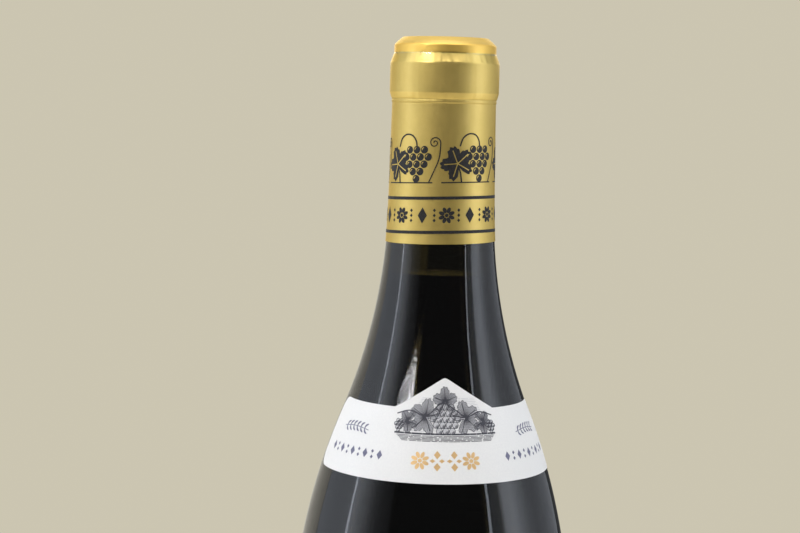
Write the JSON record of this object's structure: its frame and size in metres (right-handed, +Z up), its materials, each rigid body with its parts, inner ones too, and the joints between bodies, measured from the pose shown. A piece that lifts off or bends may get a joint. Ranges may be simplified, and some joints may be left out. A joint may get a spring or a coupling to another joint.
{
  "type": "wine bottle",
  "caption": "Full bottle of red wine: dark green glass with sloping shoulders, gold foil capsule over the mouth and a white peaked paper label round the shoulder.",
  "frame": {"origin": "centre of the standing ring, on the surface that the bottle stands on", "axes": "+Z up along the bottle's axis; the middle of the neck label faces -Y"},
  "size_m": [0.081, 0.081, 0.2975],
  "materials": {
    "dark_green_glass": "polished dark green bottle glass, nearly black where wine stands behind it",
    "red_wine": "clear dark red wine",
    "gold_foil": "satin pale gold foil with black print",
    "white_paper": "smooth white label paper with grey-blue and gold print"
  },
  "bodies": {
    "root": {"glass_bottle": "dark_green_glass", "wine": "red_wine", "capsule": "gold_foil", "neck_label": "white_paper"}
  },
  "joints": []
}
